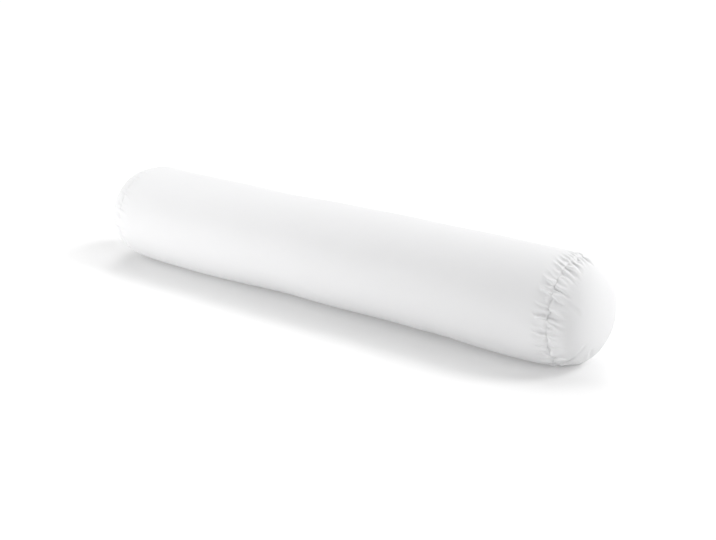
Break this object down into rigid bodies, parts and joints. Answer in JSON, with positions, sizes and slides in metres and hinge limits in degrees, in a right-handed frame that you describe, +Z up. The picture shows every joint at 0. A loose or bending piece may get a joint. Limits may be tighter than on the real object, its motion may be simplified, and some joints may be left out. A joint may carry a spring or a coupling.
{
  "type": "bolster body pillow",
  "caption": "Long round bolster pillow in plain white percale, its ends closed by bulging round panels gathered into their seams, settled flat underneath.",
  "frame": {"origin": "on the floor, under the middle of the bolster's box", "axes": "+X along the bolster towards its right end, +Y towards its back, +Z up"},
  "size_m": [1.4006, 0.2488, 0.2364],
  "materials": {
    "tube_cloth": "smooth matt white cotton percale",
    "end_panel_cloth": "smooth matt white cotton percale, gathered at its rim"
  },
  "bodies": {
    "root": {"tube": "tube_cloth", "end_panel_right": "end_panel_cloth", "end_panel_left": "end_panel_cloth"}
  },
  "joints": []
}
